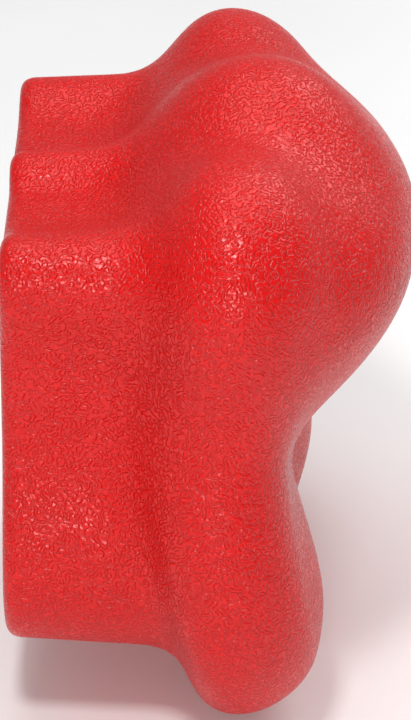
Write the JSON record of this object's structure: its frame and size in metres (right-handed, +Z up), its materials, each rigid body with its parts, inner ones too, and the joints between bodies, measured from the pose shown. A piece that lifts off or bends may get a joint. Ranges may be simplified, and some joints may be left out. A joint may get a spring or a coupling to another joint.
{
  "type": "grappling dummy",
  "caption": "Wall-mounted half-torso grappling dummy: grained moulded skin over foam, with a domed head and chest, shoulder and hip lobes and a flat mounting back.",
  "frame": {"origin": "centre of the flat back face, on the steel mounting plate", "axes": "+X forward from the back face to the head, +Y to the dummy's left, +Z up"},
  "size_m": [0.3118, 0.496, 0.4851],
  "materials": {
    "skin": "red grained moulded vinyl skin, semi-gloss",
    "foam": "moulded polyurethane foam, matte",
    "plywood": "birch plywood, unfinished",
    "plate_steel": "black powder coat",
    "fastener_steel": "zinc plated",
    "plug_plastic": "matte black"
  },
  "bodies": {
    "root": {"outer_skin": "skin", "foam_body": "foam", "back_board": "plywood", "mounting_plate": "plate_steel", "weld_nuts": "fastener_steel", "plate_screws": "fastener_steel", "spine_tube": "plate_steel", "spreader_disc": "plate_steel", "pour_plug": "plug_plastic", "lip_staples": "fastener_steel"}
  },
  "joints": []
}
